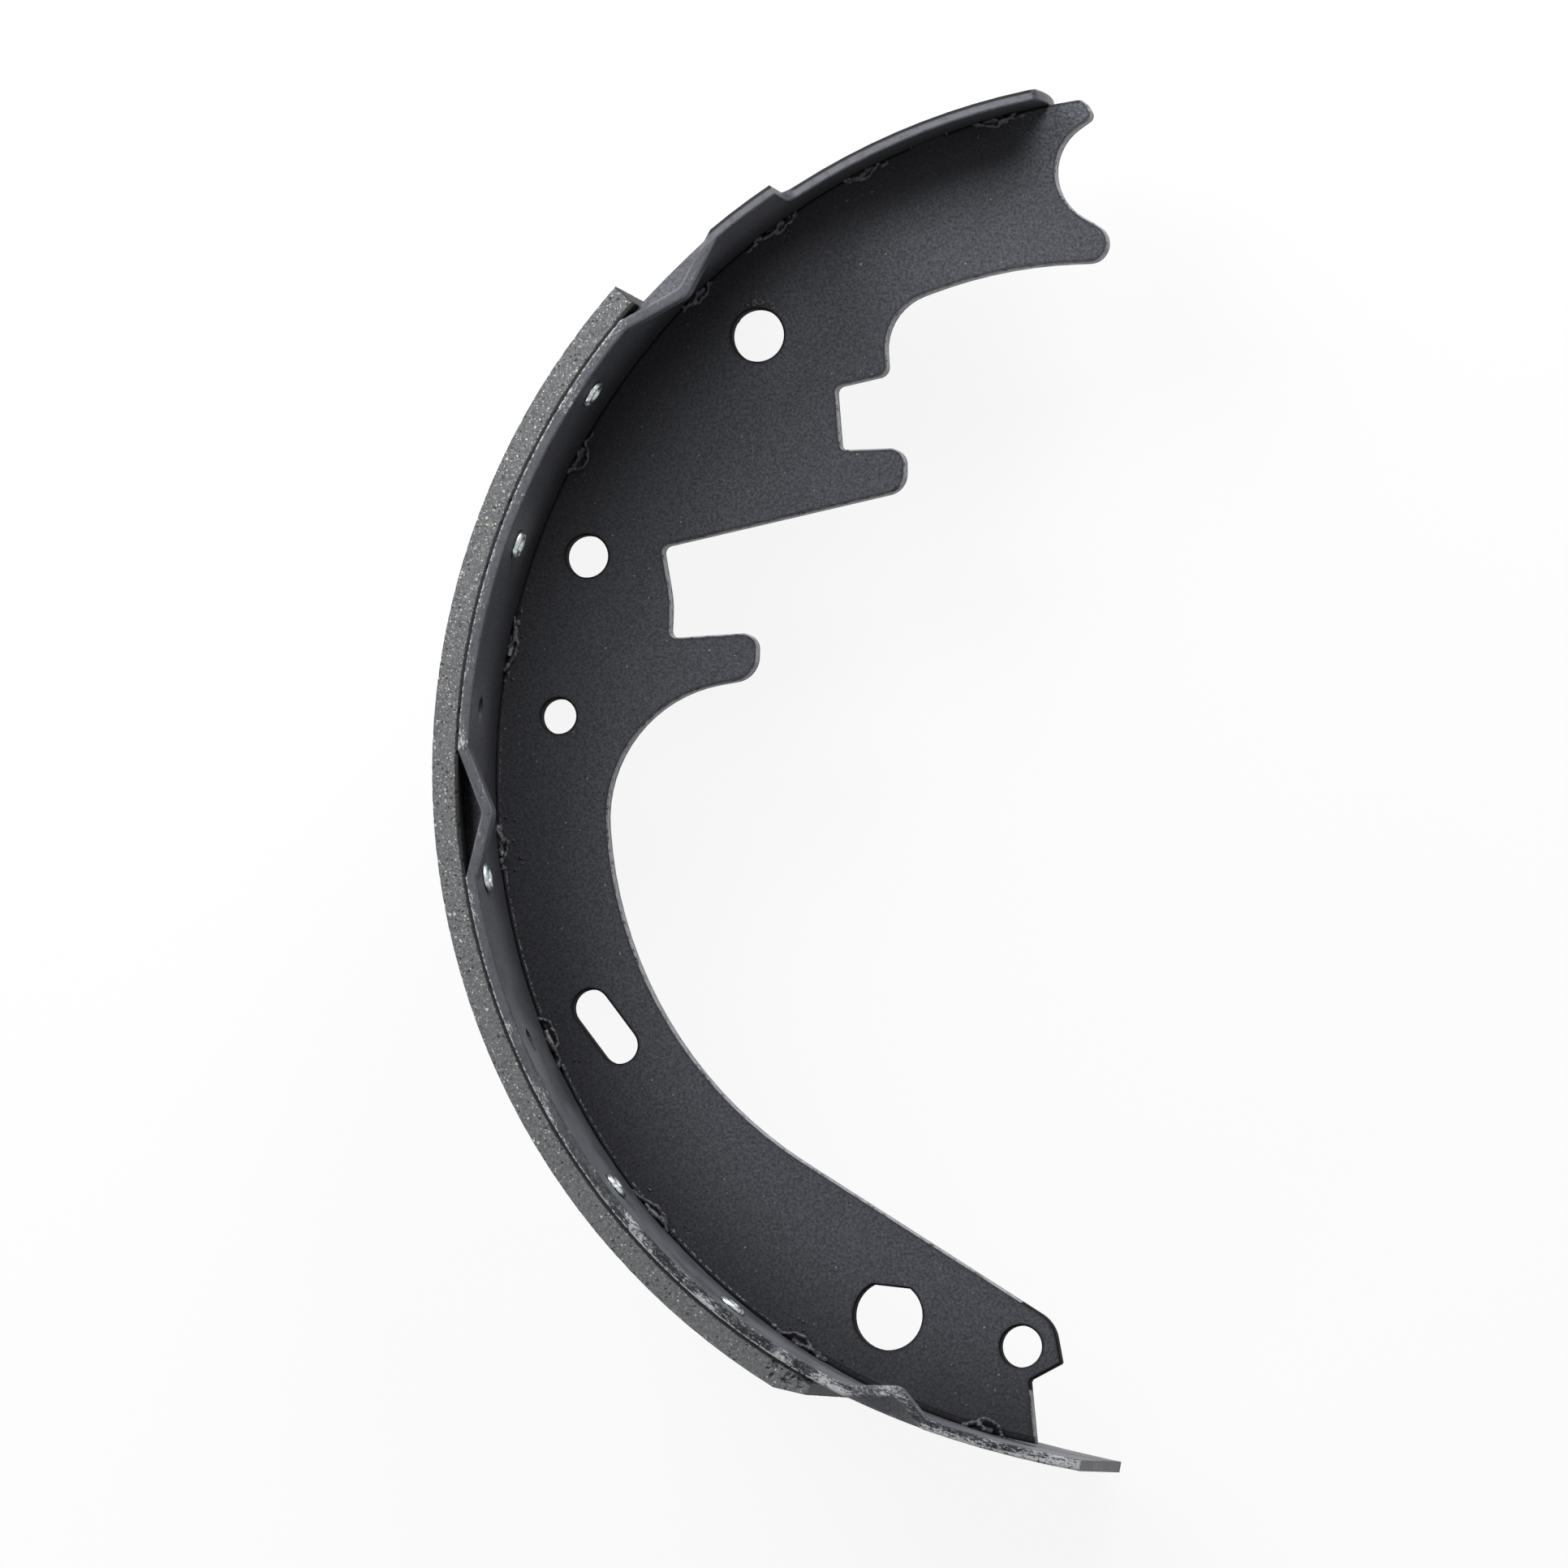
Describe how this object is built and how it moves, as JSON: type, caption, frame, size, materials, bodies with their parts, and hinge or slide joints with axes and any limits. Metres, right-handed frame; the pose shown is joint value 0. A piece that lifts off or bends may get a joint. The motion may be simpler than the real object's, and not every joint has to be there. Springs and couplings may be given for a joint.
{
  "type": "brake shoe",
  "caption": "Drum brake shoe: a stamped steel web welded to a curved table, with a riveted friction lining, anchor notch and adjuster end.",
  "frame": {"origin": "middle of the footprint, on the plane that the lower edge of the table rests on", "axes": "+Z along the axis of the drum, out of the web; +Y towards the anchor end; -X towards the lining"},
  "size_m": [0.1386, 0.2904, 0.0705],
  "materials": {
    "painted_steel": "satin black paint",
    "friction_lining": "ground friction material with brass and fibre flecks",
    "rivet_steel": "bright zinc"
  },
  "bodies": {
    "root": {"table": "painted_steel", "web": "painted_steel", "lining": "friction_lining", "rivet_near_1": "rivet_steel", "rivet_far_1": "rivet_steel", "rivet_near_2": "rivet_steel", "rivet_far_2": "rivet_steel", "rivet_near_3": "rivet_steel", "rivet_far_3": "rivet_steel", "rivet_near_4": "rivet_steel", "rivet_far_4": "rivet_steel", "rivet_near_5": "rivet_steel", "rivet_far_5": "rivet_steel"}
  },
  "joints": []
}
